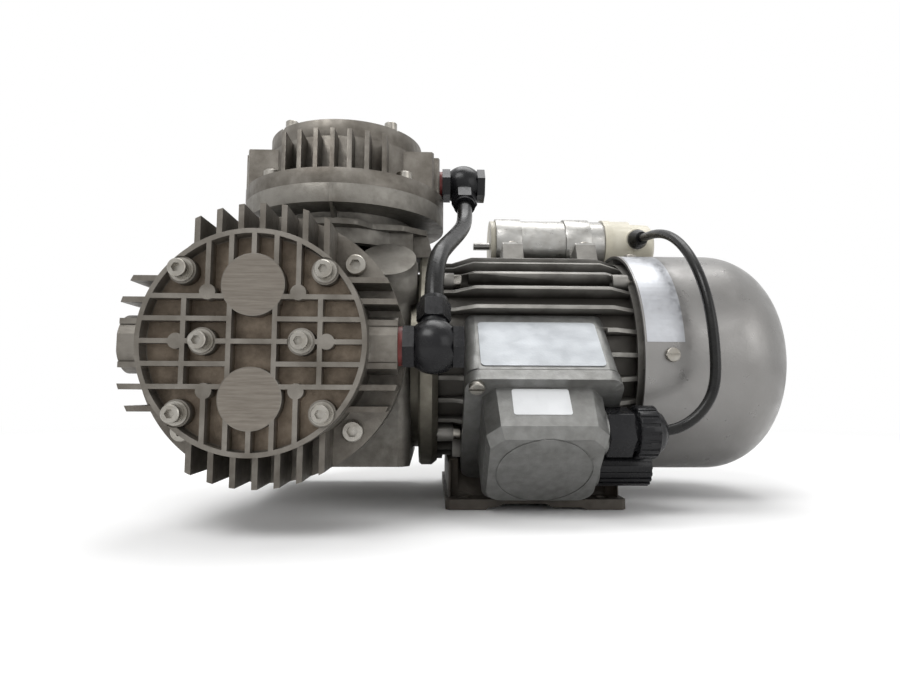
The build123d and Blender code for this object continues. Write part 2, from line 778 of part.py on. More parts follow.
def motor_frame():
    """Tubular frame with radial cooling fins, tie-bolt lugs, a flat foot and clamp pads."""
    frame = x_cyl(frame_r, adapter_end, frame_end) + frame_fins()
    for k in range(4):
        turn = Rot(45 + 90 * k, 0, 0)
        frame += turn * frame_lug(adapter_end, adapter_end + lug_length)
        frame += turn * frame_lug(frame_end - lug_length, frame_end)
    frame += block(80, 161, -30, 30, base_top, -frame_bore_r + 8)
    frame += clamp_pads()
    clear = box_block(pedestal_left - seat_gap, pedestal_right + seat_gap, pedestal_low_u - seat_gap,
                      pedestal_top_u + seat_gap, 5, 95)
    cuts = [clear - x_cyl(frame_r, adapter_end - 1, frame_end + 1)]
    cuts.append(block(base_left - 1, base_right + 1, -70, 70, -90, base_top))
    cuts.append(x_cyl(frame_bore_r, adapter_end - 1, frame_end + 1))
    for y, z in corner_points(lug_at_r * diag):
        head_end = adapter_end + lug_length + screw_head_t + 4
        cuts.append(x_cyl(screw_r + 0.2, adapter_end - 1, adapter_end + lug_length + 1, y, z))
        cuts.append(x_cyl(screw_head_r + 0.4, adapter_end + lug_length, head_end, y, z))
        cuts.append(x_cyl(screw_r + press_gap, frame_end - lug_length, frame_end + 1, y, z))
    for x, y in base_screw_spots:
        cuts.append(z_cyl(screw_r + 0.5 + press_gap, base_top - 1, base_top + 4.3, x, y))
    for x in clamp_x:
        cuts.append(Rot(clamp_tilt, 0, 0) * z_cyl(screw_r + press_gap, clamp_base_r - 8, clamp_base_r + 1, x, clamp_screw_y))
    return frame - cuts


def end_shield_screws():
    """Four screws through the front lugs into the adapter flange, four through the rear shield."""
    front = cap_screw(screw_r, screw_head_r, screw_head_t, screw_socket, lug_length + 7)
    rear = cap_screw(screw_r, screw_head_r, screw_head_t, screw_socket, shield_end - frame_end + 7)
    screws = []
    for y, z in corner_points(lug_at_r * diag):
        screws.append(Pos(adapter_end + lug_length, y, z) * Rot(0, 90, 0) * front)
        screws.append(Pos(shield_end, y, z) * Rot(0, 90, 0) * rear)
    return Compound(screws)


def rear_end_shield():
    """Rear shield with the bearing seat and four lugs for the cowl screws."""
    body = x_turn([
        (frame_end - 3, frame_bore_r - press_gap), (frame_end, frame_bore_r - press_gap), (frame_end, fin_end_r),
        (shield_end, fin_end_r), (shield_end, 24), (rear_bearing_x + bearing_w + 2, 22),
        (rear_bearing_x + bearing_w + 2, 9), (rear_bearing_x + bearing_w, 9),
        (rear_bearing_x + bearing_w, bearing_r + press_gap), (rear_bearing_x, bearing_r + press_gap),
        (rear_bearing_x, 22), (frame_end, 30), (frame_end, 44), (frame_end - 3, 45),
    ])
    inside = cowl_r - cowl_wall - press_gap
    for k in range(4):
        lug = x_cyl(inside, frame_end + 2.5, shield_lug_end) & block(frame_end, 200, 52, 70, -7, 7)
        lug -= Pos(cowl_screw_x, 0, 0) * Rot(0, 0, 0) * y_drill(screw_r + press_gap, 50, 70)
        body += Rot(90 * k, 0, 0) * lug
    for y, z in corner_points(lug_at_r * diag):
        body -= x_cyl(screw_r + 0.2, frame_end - 1, shield_end + 1, y, z)
    return body


def y_drill(radius, y0, y1):
    return Pos(0, (y0 + y1) / 2, 0) * Rot(90, 0, 0) * Cylinder(radius, y1 - y0)


def fan():
    """Radial fan: a hub and a back plate with straight blades."""
    wheel = x_turn([
        (fan_start - 4, shaft_fan_r + press_gap), (fan_start - 4, 11), (fan_start, 12), (fan_start, fan_r),
        (fan_start + 2, fan_r), (fan_start + 2, 12), (fan_start + 12, 10), (fan_start + 12, shaft_fan_r + press_gap),
    ])
    for k in range(8):
        blade = block(fan_start, fan_start + fan_depth, 9.5, fan_r, -1, 1)
        wheel += Rot(45 * k, 0, 0) * blade
    return wheel - x_cyl(shaft_fan_r + press_gap, fan_start - 10, fan_start + 30)


def cowl_points(inset):
    """Half of the cowl's outline as (x, radius): straight barrel, then a round end."""
    radius = cowl_r - inset
    bend = cowl_dome_r - inset
    end = cowl_end - inset
    centre = (end - bend, radius - bend)
    arc = [(centre[0] + bend * sin(a), centre[1] + bend * cos(a)) for a in (radians(9 * k) for k in range(11))]
    return centre, bend, end, radius, arc


def cowl_body(inset, start):
    centre, bend, end, radius, arc = cowl_points(inset)
    line = Polyline((start, 0), (start, radius), (centre[0], radius))
    middle = (centre[0] + bend * diag, centre[1] + bend * diag)
    curve = ThreePointArc((centre[0], radius), middle, (end, centre[1]))
    close = Polyline((end, centre[1]), (end, 0), (start, 0))
    return revolve(Plane.XZ * make_face(line + curve + close), Axis.X)


def fan_cowl():
    """Drawn sheet cowl with an air grille of ring slots in its end."""
    cowl = cowl_body(0, cowl_start) - cowl_body(cowl_wall, cowl_start - 5)
    rings = Sketch()
    for inner in (8.0, 13.5, 19.0):
        rings += Circle(inner + 3) - Circle(inner)
    for k in range(3):
        rings -= Rot(0, 0, 60 * k) * Rectangle(80, 3)
    slots = extrude(Plane((cowl_end - 6, 0, 0), (0, 1, 0), (1, 0, 0)) * rings, 12)
    cowl -= slots
    for k in range(4):
        cowl -= Rot(90 * k, 0, 0) * Pos(cowl_screw_x, 0, 0) * y_drill(screw_r + 0.2, 55, 70)
    return cowl


def cowl_screws():
    screw = slot_screw(screw_r, 3.6, 2.2, 0.9, 8.0)
    return Compound([Rot(90 * k, 0, 0) * Pos(cowl_screw_x, 0, cowl_r) * screw for k in range(4)])


# Base


def motor_base():
    """Cast base: a block on a foot plate, cells below, and a notch under the terminal box."""
    x0, x1 = base_left + base_block_inset, base_right - base_block_inset
    base = x_prism([
        (-base_block_half, base_bottom + 1), (-base_block_half, base_top), (base_block_half, base_top),
        (base_block_half, base_bottom + 1),
    ], x0, x1)
    base = fillet(base.edges().filter_by(Axis.Z), 4)
    base = fillet(base.faces().sort_by(Axis.Z)[-1].edges(), 1.5)
    plate = block(base_left, base_right, -base_plate_half, base_plate_half, base_bottom, base_bottom + base_plate_t)
    base += chamfer(plate.edges().filter_by(Axis.Z), 2)
    notch = box_block(pedestal_left - 2.5, pedestal_right + 2.5, pedestal_low_u - 1.3, 90, 40, 120)
    cuts = [notch & block(0, 300, -100, 0, base_bottom + base_plate_t, 0)]
    low = base_bottom - 1
    cell_gap = base_cell + 5
    for k in (-1, 0, 1):
        left = base_mid + k * cell_gap - base_cell / 2
        cuts.append(block(left, left + base_cell, -24, -2, low, base_top - 5))
        cuts.append(block(left, left + base_cell, 2, 33, low, base_top - 5))
    arch = Plane.XZ * face_of([
        (base_left + 19.5, low), (base_left + 19.5, base_bottom), (base_left + 21, base_bottom + 1.2),
        (base_left + 24.6, base_bottom + 1.2), (base_left + 29, base_bottom + base_arch),
        (base_left + 49, base_bottom + base_arch), (base_left + 52.6, base_bottom + 1.2),
        (base_left + 67, base_bottom + 1.2), (base_left + 69, base_bottom), (base_left + 69, low),
    ])
    cuts.append(extrude(arch, 80, both=True))
    for x in (base_mid - foot_pitch_x / 2, base_mid + foot_pitch_x / 2):
        for side in (-1, 1):
            y = side * foot_pitch_y / 2
            cuts.append(z_cyl(foot_hole_r, low, base_top + 1, x, y))
            pocket = z_cyl(foot_pocket_r, base_bottom + base_plate_t, base_top + 1, x, y)
            outer = block(x - foot_pocket_r, x + foot_pocket_r, min(y, side * 70), max(y, side * 70),
                          base_bottom + base_plate_t, base_top + 1)
            cuts.append(pocket + outer)
    for x, y in base_screw_spots:
        cuts.append(z_cyl(screw_r + 0.7, base_top - 6, base_top + 1, x, y))
    return base - cuts


def base_screws():
    """Screws from inside the base up into the motor's foot."""
    screw = cap_screw(screw_r + 0.5, screw_head_r + 0.7, 4.0, 4.0, 9.0)
    return Compound([Pos(x, y, base_top - 5) * Rot(180, 0, 0) * screw for x, y in base_screw_spots])


# Terminal box


def box_block(x0, x1, u0, u1, v0, v1):
    return box_place((x0 + x1) / 2, (u0 + u1) / 2, (v0 + v1) / 2) * Box(x1 - x0, u1 - u0, v1 - v0)


def box_drill(radius, x, u, v0, v1):
    return box_place(x, u, (v0 + v1) / 2) * Cylinder(radius, v1 - v0)


box_screw_spots = [(pedestal_left + 4.3, pedestal_top_u - 4.1), (pedestal_right - 4.3, pedestal_low_u + 4.1)]
box_mid_x = (pedestal_left + pedestal_right) / 2
box_mid_u = (pedestal_top_u + pedestal_low_u) / 2
box_width = pedestal_right - pedestal_left
box_height = pedestal_top_u - pedestal_low_u


def terminal_pedestal():
    """Cast foot of the terminal box, saddled on the motor frame."""
    body = box_place(box_mid_x, box_mid_u, 22) * extrude(RectangleRounded(box_width, box_height, box_corner_r), seam_v - 22)
    saddle = x_cyl(frame_r + press_gap, 60, 190)
    behind = block(60, 190, -8, 70, -90, 90)
    body = body - [saddle, behind]
    inside = box_block(pedestal_left + box_wall + 1, pedestal_right - box_wall - 1, pedestal_low_u + 12,
                       pedestal_top_u - box_wall - 1, 25, seam_v + 1)
    body -= inside - x_cyl(frame_r + 3, 60, 190)
    for x, u in box_screw_spots:
        body += box_drill(4.3, x, u, seam_v - 9, seam_v) - x_cyl(frame_r + press_gap, 60, 190)
        body -= box_drill(screw_r + press_gap, x, u, seam_v - 7, seam_v + 1)
    return body


def terminal_gasket():
    sheet = RectangleRounded(box_width - 1, box_height - 1, box_corner_r - 0.5)
    ring = sheet - RectangleRounded(box_width - 12, box_height - 12, 3)
    for x, u in box_screw_spots:
        ring += Pos(x - box_mid_x, u - box_mid_u) * Circle(3.6)
        ring -= Pos(x - box_mid_x, u - box_mid_u) * Circle(screw_r + 0.2)
    return box_place(box_mid_x, box_mid_u, seam_v) * extrude(ring & sheet, gasket_t)


def cap_outline(inset):
    """Outline of the deep part of the cover, with two bevelled upper corners."""
    x0, x1 = cap_left + inset * 0.4, cap_right - inset * 0.4
    u0, u1 = cap_low_u + inset, cap_top_u - inset
    c = cap_chamfer
    sheet = face_of([(x0, u0), (x1, u0), (x1, u1 - c), (x1 - c, u1), (x0 + c, u1), (x0, u1 - c)])
    return fillet(sheet.vertices().group_by(Axis.Y)[0], 8)


def hollow_outline(inset):
    x0, x1 = cap_left + inset, cap_right - inset
    u0, u1 = cap_low_u + inset, cap_top_u - inset
    c = cap_chamfer - 1.5
    return face_of([(x0 + c, u0), (x1 - c, u0), (x1, u0 + c), (x1, u1 - c), (x1 - c, u1), (x0 + c, u1), (x0, u1 - c),
                    (x0, u0 + c)])


def terminal_cover():
    """Cover: a flange on the pedestal and a deep drafted cap that holds the glands."""
    v0 = seam_v + gasket_t
    body = box_place(box_mid_x, box_mid_u, v0) * extrude(
        RectangleRounded(box_width + 2, box_height + 1, box_corner_r + 2), flange_v - v0)
    at = [box_place(0, 0, v) for v in (flange_v - 0.5, cap_v - 4, cap_v)]
    body += loft([at[0] * cap_outline(0), at[1] * cap_outline(cap_draft * 0.85)])
    body += loft([at[1] * cap_outline(cap_draft * 0.85), at[2] * cap_outline(cap_draft + 4)])
    body += side_boss(gland_u, gland_v, gland_hex / 2) + side_boss(plug_u, plug_v, plug_r)
    low = box_place(0, 0, v0 - 1)
    high = box_place(0, 0, cap_v - box_wall)
    body -= loft([low * hollow_outline(box_wall), high * hollow_outline(cap_draft + box_wall + 2)])
    ring = box_place((cap_left + cap_right) / 2, (cap_top_u + cap_low_u) / 2, cap_v) * extrude(
        Circle(22.3) - Circle(21.5), -0.4)
    cuts = [ring]
    for x, u in box_screw_spots:
        cuts.append(box_drill(screw_r + 0.2, x, u, v0 - 1, flange_v + 1))
    cuts.append(x_cyl(gland_stem_r + press_gap, cap_right - 12, cap_right + 4, *box_yz(gland_u, gland_v)))
    cuts.append(x_cyl(plug_stem_r + press_gap, cap_right - 12, cap_right + 4, *box_yz(plug_u, plug_v)))
    return body - cuts




def box_yz(u, v):
    """World y and z of a point on the terminal box."""
    return -diag * (u + v), diag * (u - v)


def side_boss(u, v, radius):
    """Flat round pad on the cover's side, under a gland."""
    return x_cyl(radius, cap_right - 4, cap_right + 0.4, *box_yz(u, v))


def terminal_cover_screws():
    screw = slot_screw(screw_r, 3.7, 2.4, 0.9, 12.0)
    return Compound([box_place(x, u, flange_v) * screw for x, u in box_screw_spots])


def terminal_block():
    """Moulded block with three pairs of chambers, on the pedestal's floor."""
    floor_v = frame_r + 3.0
    body = box_block(box_mid_x - 21, box_mid_x + 21, -6, 14, floor_v, floor_v + 8)
    body -= x_cyl(frame_r + 3.0 + press_gap, 60, 190)
    for k in (-1, 0, 1):
        for u in (0, 8):
            body -= box_block(box_mid_x + 14 * k - 4.5, box_mid_x + 14 * k + 4.5, u - 3, u + 3, floor_v + 5, floor_v + 9)
            body += box_drill(1.9, box_mid_x + 14 * k, u, floor_v + 4, floor_v + 11)
    return body


gland_face = cap_right + 0.4


def cable_gland_body():
    """Gland body: a hexagon, a thread into the box and a thread for the nut."""
    y, z = box_yz(gland_u, gland_v)
    hexagon = extrude(Rot(0, 0, 15) * RegularPolygon(gland_hex / 2, 6, major_radius=False), gland_body_length)
    body = Plane((gland_face, y, z), (0, 1, 0), (1, 0, 0)).location * hexagon
    body += x_cyl(gland_stem_r, gland_face - 9, gland_face + 1, y, z)
    body += x_cyl(9.5, gland_face + gland_body_length - 1, gland_face + gland_body_length + 8, y, z)
    return body - x_cyl(cable_r + press_gap, gland_face - 20, gland_face + 40, y, z)


def cable_gland_nut():
    """Knurled nut with a domed end; its mouth widens where the cable starts to bend."""
    y, z = box_yz(gland_u, gland_v)
    start = gland_face + gland_body_length + 1.8
    end = start + gland_nut_length
    nut = x_turn([
        (start, 9.5 + press_gap), (start, gland_nut_r - 0.6), (start + 0.6, gland_nut_r), (end - 5.5, gland_nut_r),
        (end - 5, gland_nut_r - 1.6), (end - 2, gland_nut_r - 3.6), (end, gland_nut_r - 6.6), (end, cable_r + 0.8),
        (end - 5, cable_r + press_gap), (end - 7.5, cable_r + press_gap), (end - 7.5, 9.5 + press_gap),
    ])
    for k in range(20):
        nut -= Rot(18 * k, 0, 0) * Pos((start + end - 6) / 2, 0, gland_nut_r + 0.3) * Box(end - 6 - start, 1.2, 1.4)
    return Pos(0, y, z) * nut


def blanking_plug():
    y, z = box_yz(plug_u, plug_v)
    plug = x_cyl(plug_stem_r, gland_face - 9, gland_face + 1, y, z)
    ribs = Circle(plug_r - 0.7)
    for k in range(9):
        ribs += Rot(0, 0, 20 * k) * Rectangle(2 * plug_r, 1.6)
    ribs = ribs & Circle(plug_r)
    return plug + extrude(Plane((gland_face, y, z), (0, 1, 0), (1, 0, 0)) * ribs, plug_length)


# Capacitor


can_axis_r = hypot(can_y, can_z)
clamp_base_r = can_axis_r - can_r - 1.7
clamp_tilt = degrees(atan2(can_z, can_y)) - 90
clamp_screw_y = -can_r - 6.0


def clamp_pads():
    """Two bars across the frame's top fins that carry the capacitor's clamps."""
    pads = []
    for x in clamp_x:
        bar = block(x - 6, x + 6, clamp_screw_y - 5, 9, frame_r - 8, clamp_base_r)
        pads.append(Rot(clamp_tilt, 0, 0) * (bar - x_cyl(frame_r - 2, 60, 190)))
    return pads


def capacitor_can():
    body = x_turn([
        (can_start, 0), (can_start, can_r - 1), (can_start + 1, can_r), (can_end - 1, can_r), (can_end, can_r - 1),
        (can_end, 0),
    ])
    stud = x_cyl(2.5, can_start - 13.5, can_start + 1)
    return Pos(0, can_y, can_z) * (body + stud)


def capacitor_caps():
    """Plastic end ring round the stud, and the plastic cap over the terminals."""
    ring = x_cyl(can_r - 0.2, can_start - 3.3, can_start) - x_cyl(2.5 + press_gap, can_start - 5, can_start + 1)
    cap = x_turn([
        (cap_collar_start, can_r + press_gap), (cap_collar_start, cap_collar_r), (cap_collar_end, cap_collar_r),
        (cap_collar_end, cap_wide_r), (cap_wide_end - 1, cap_wide_r), (cap_wide_end, cap_narrow_r),
        (cap_end - 2, cap_narrow_r - 0.5), (cap_end, cap_narrow_r - 2.5), (cap_end, 0), (cap_end - 1.6, 0),
        (cap_end - 1.6, cap_narrow_r - 4), (cap_wide_end + 1, cap_narrow_r - 2), (can_end + 4, cap_wide_r - 3),
        (can_end, cap_wide_r - 3), (can_end, can_r + press_gap),
    ])
    cap = Pos(0, can_y, can_z) * cap
    cap += grommet_place * z_cyl(6.8, -4.5, 0)
    return Compound([Pos(0, can_y, can_z) * ring, cap - grommet_place * z_cyl(4.2, -14, 12)])


grommet_place = Plane((cap_wide_end + 1.2, can_y - cap_wide_r - 0.8, can_z + 1.2), (0, 0, 1),
                      (0.02, -0.992, -0.123)).location


def cable_grommet():
    """Tapered rubber grommet that guides the lead into the cap."""
    shape = z_turn([
        (cable_r + press_gap, -5), (4.1, -5), (4.1, 0), (6.0, 0), (6.0, 2.4), (3.9, grommet_length),
        (cable_r + press_gap, grommet_length),
    ])
    return grommet_place * shape


def capacitor_clamps():
    """Sheet clamps round the can, each with an ear on the frame's bar."""
    clamps = []
    for x in clamp_x:
        band = x_cyl(can_r + 1.2, x - clamp_w / 2, x + clamp_w / 2) - x_cyl(can_r + press_gap, x - 20, x + 20)
        band = Pos(0, 0, can_axis_r) * band
        foot = block(x - 6, x + 6, clamp_screw_y - 5, 0, clamp_base_r, clamp_base_r + 1.5)
        band += foot - Pos(0, 0, can_axis_r) * x_cyl(can_r + press_gap, x - 20, x + 20)
        band -= z_cyl(screw_r + 0.2, clamp_base_r - 1, clamp_base_r + 3, x, clamp_screw_y)
        clamps.append(Rot(clamp_tilt, 0, 0) * band)
    return Compound(clamps)


def capacitor_clamp_screws():
    screw = slot_screw(screw_r, 3.6, 2.2, 0.9, 9.0)
    return Compound([Rot(clamp_tilt, 0, 0) * Pos(x, clamp_screw_y, clamp_base_r + 1.5) * screw for x in clamp_x])


# Hose and fittings: places of the two balls, and the directions of their outlets
port_end_x = port_half_length
collar_end = seal_t + collar_t
ball_x = port_end_x + collar_end + ball_half
lower_ball = Vector(ball_x, -port_z, 0)
upper_ball = Vector(rod_pitch + ball_x, 0, port_z)
lower_outlet = Vector(0, sin(radians(25)), cos(radians(25)))
upper_outlet = Vector(0, -sin(radians(41)), -cos(radians(41)))


def at_fittings(shape_of):
    """A shape about each ball's centre, its local z along the outlet and its local x along X."""
    places = []
    for ball, outlet in ((lower_ball, lower_outlet), (upper_ball, upper_outlet)):
        places.append(Plane(ball, (1, 0, 0), outlet).location * shape_of())
    return Compound(places)


def seal_ring():
    x0 = -ball_half - collar_end
    return x_cyl(8.2, x0, x0 + seal_t) - x_cyl(port_r, x0 - 1, x0 + 5)


def banjo_bolt():
    """Hollow bolt: a collar hexagon, a stem through the ball, and a head."""
    turn = Rot(0, 90, 0)
    hexagon = RegularPolygon(collar_hex / 2, 6, major_radius=False)
    collar = Pos(-ball_half - collar_t, 0, 0) * turn * extrude(hexagon, collar_t)
    head = Pos(ball_half, 0, 0) * turn * extrude(hexagon, bolt_head_t)
    stem = x_cyl(port_r - press_gap, -ball_half - collar_end - port_depth + 2, ball_half + 1)
    return collar + head + stem


def ball_body():
    """Ball with two flats round the bolt, and a stub for the hose nut."""
    ball = Sphere(ball_r) & Box(2 * ball_half, 40, 40)
    ball += z_cyl(6.0, 0, 16)
    ball -= x_cyl(port_r, -20, 20)
    return ball - z_cyl(hose_r + press_gap, 12, 20)


def hose_nut():
    hexagon = extrude(Pos(0, 0, 11.9) * RegularPolygon(hose_nut_hex / 2, 6, major_radius=False), 9)
    nut = hexagon + z_cyl(6.2, 20, outlet_length - 2) - z_cyl(6.0 + press_gap, 0, 16.05)
    nut = nut & z_turn([(0, 10), (6.8, 11.9), (7.6, 12.7), (7.6, 20.2), (5.9, 23.5), (0, 23.5)])
    return nut - z_cyl(hose_r + press_gap, 10, 40)


def route(points):
    """A cord's path: straight runs joined by arcs as large as the runs allow."""
    pts = [Vector(*p) for p in points]
    radii = []
    for a, b, c in zip(pts, pts[1:], pts[2:]):
        run = min((b - a).length, (c - b).length)
        turn = (b - a).get_angle(c - b)
        radii.append(0.45 * run / tan(radians(turn) / 2))
    return FilletPolyline(*pts, radius=radii), radii


def tube(points, radius, name):
    path, radii = route(points)
    start = Vector(*points[0])
    along = Vector(*points[1]) - start
    body = sweep(Plane(start, z_dir=along) * Circle(radius), path=path)
    expected = pi * radius ** 2 * path.length
    print(f"{name}: length {path.length:.1f}, volume {body.volume:.0f} of {expected:.0f},",
          "radii", [round(r, 1) for r in radii])
    return body


def midway(a, b, part, x, y, z):
    return a + (b - a) * part + Vector(x, y, z)


def hose_points():
    """Corners of the hose: straight out of each nut, then in two soft bends along the chord."""
    top = upper_ball + upper_outlet * 32
    low = lower_ball + lower_outlet * 34
    chord = (low - top).normalized()
    below = top + (upper_outlet + chord).normalized() * 14
    above = low + (lower_outlet - chord).normalized() * 18
    corners = [upper_ball + upper_outlet * 18, top, below, midway(below, above, 1 / 3, 0.2, 0.1, -0.3),
               midway(below, above, 2 / 3, -0.2, -0.3, -0.2), above, low, lower_ball + lower_outlet * 18]
    return [tuple(p) for p in corners]


def cable_points():
    """Corners of the lead: out of the gland, up beside the cowl and over to the capacitor."""
    y, z = box_yz(gland_u, gland_v)
    x = gland_face + gland_body_length + 1.8 + gland_nut_length + 1.6
    step = 11.4
    corners = [Vector(x - step, y, z), Vector(x, y, z)]
    for turn, side in ((22.5, -0.4), (45, -0.6), (67.5, 0.2)):
        corners.append(corners[-1] + Vector(step * cos(radians(turn)), side, step * sin(radians(turn))))
    rise = corners[-1]
    for dx, dy, dz in ((0.9, 1.6, 17.5), (0.6, 4.9, 36), (-0.7, 11.4, 53), (-2.0, 22.9, 68), (-3.0, 38.9, 79.5),
                       (-3.7, 57.9, 86.4)):
        corners.append(rise + Vector(dx, dy, dz))
    grommet = grommet_place.position
    out = Vector(0.02, -0.992, -0.123)
    corners += [grommet + out * 14.5, grommet + out * 1.5]
    return [tuple(p) for p in corners]


def nodes():
    """Every piece by its node's name."""
    pieces = {
        "crankcase": crankcase(),
        "crankcase_cover": crankcase_cover(),
        "crankcase_cover_screws": crankcase_cover_screws(),
        "adapter_flange": adapter_flange(),
        "adapter_screws": adapter_screws(),
        "cover_screws": on_heads(cover_screws),
        "cover_washers": on_heads(cover_washers),
        "head_screws": on_heads(head_screws),
        "head_orings": on_heads(head_orings),
        "valve_flaps": on_heads(valve_flaps),
        "valve_rivets": on_heads(valve_rivets),
        "crank_eccentric": eccentric(),
        "crank_counterweight": counterweight(),
        "crank_screws": Compound([pin_retainer(), set_screw()]),
        "motor_shaft": motor_shaft(),
        "motor_bearings": motor_bearings(),
        "rotor_core": rotor_core(),
        "stator_core": stator_core(),
        "stator_windings": stator_windings(),
        "motor_frame": motor_frame(),
        "end_shield_screws": end_shield_screws(),
        "rear_end_shield": rear_end_shield(),
        "fan": fan(),
        "fan_cowl": fan_cowl(),
        "cowl_screws": cowl_screws(),
        "motor_base": motor_base(),
        "base_screws": base_screws(),
        "terminal_pedestal": terminal_pedestal(),
        "terminal_gasket": terminal_gasket(),
        "terminal_cover": terminal_cover(),
        "terminal_cover_screws": terminal_cover_screws(),
        "terminal_block": terminal_block(),
        "cable_gland_body": cable_gland_body(),
        "cable_gland_nut": cable_gland_nut(),
        "blanking_plug": blanking_plug(),
        "capacitor_can": capacitor_can(),
        "capacitor_caps": capacitor_caps(),
        "capacitor_clamps": capacitor_clamps(),
        "capacitor_clamp_screws": capacitor_clamp_screws(),
        "cable_grommet": cable_grommet(),
        "fitting_seals": at_fittings(seal_ring),
        "banjo_bolts": at_fittings(banjo_bolt),
        "banjo_bodies": at_fittings(ball_body),
        "hose_nuts": at_fittings(hose_nut),
        "hose": tube(hose_points(), hose_r, "hose"),
        "lead_cable": tube(cable_points(), cable_r, "lead_cable"),
    }
    for head, (place, outward, sideways) in heads.items():
        pieces[head + "_head_cover"] = place * head_cover()
        pieces[head + "_head_plate"] = place * valve_turn[head] * head_plate()
        pieces[head + "_diaphragm"] = place * diaphragm(outward, sideways)
        pieces[head + "_clamp_disc"] = place * clamp_disc(outward, sideways)
        pieces[head + "_clamp_screw"] = place * clamp_screw(outward, sideways)
        pieces[head + "_connecting_rod"] = place * connecting_rod(outward, sideways)
        pieces[head + "_rod_bearing"] = place * rod_bearing(outward, sideways)
    return pieces


os.makedirs("parts", exist_ok=True)
for name, piece in nodes().items():
    export_step(frame_place * piece, f"parts/{name}.step")
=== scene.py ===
import json
from math import cos, radians, sin

import bpy
from mathutils import Matrix, Vector


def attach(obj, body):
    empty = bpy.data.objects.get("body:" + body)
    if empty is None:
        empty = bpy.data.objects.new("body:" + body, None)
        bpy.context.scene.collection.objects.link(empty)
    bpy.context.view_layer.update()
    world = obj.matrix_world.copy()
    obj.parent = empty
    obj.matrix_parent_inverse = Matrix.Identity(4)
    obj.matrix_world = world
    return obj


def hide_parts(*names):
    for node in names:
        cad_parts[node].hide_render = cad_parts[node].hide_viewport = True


# Places are in metres in the CAD frame: X along the motor, the front head to -Y, Z up,
# and the origin between the four foot holes.
AXIS_HEIGHT = 0.076
CRANK_X = -0.1205
ROD_PITCH = 0.0175
HEAD_X = {"front": CRANK_X, "upper": CRANK_X + ROD_PITCH}

# Seam and top of a head cover are measured out from the motor axis, the rest from the head's own
COVER_SEAM = 0.1165
COVER_TOP = 0.1256
COVER_RADIUS = 0.044
RIM_WALL = 0.0025
BOSS_OFFSET = 0.0219
BOSS_RADIUS = 0.0119

# Depths under a cover's top where its pockets begin and are deepest, and the milled skin
POCKET_START = 0.002
POCKET_DEPTH = 0.0052
MILLED_START = 0.0001
MILLED_DEPTH = 0.0006

# Widths over which one look fades into the next
BLUR = 0.0005
BOSS_BLUR = 0.0002

# Radii round the motor axis
FRAME_RADIUS = 0.053
FIN_RADIUS = 0.06
COWL_RADIUS = 0.0615

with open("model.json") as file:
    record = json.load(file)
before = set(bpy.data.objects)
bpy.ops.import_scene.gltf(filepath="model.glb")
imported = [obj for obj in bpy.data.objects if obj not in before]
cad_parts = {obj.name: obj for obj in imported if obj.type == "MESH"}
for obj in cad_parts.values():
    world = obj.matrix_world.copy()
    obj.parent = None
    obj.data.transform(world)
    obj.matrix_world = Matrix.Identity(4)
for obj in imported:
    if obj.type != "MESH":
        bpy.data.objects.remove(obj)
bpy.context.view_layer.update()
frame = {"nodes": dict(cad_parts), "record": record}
nodes = frame["nodes"]


# Materials


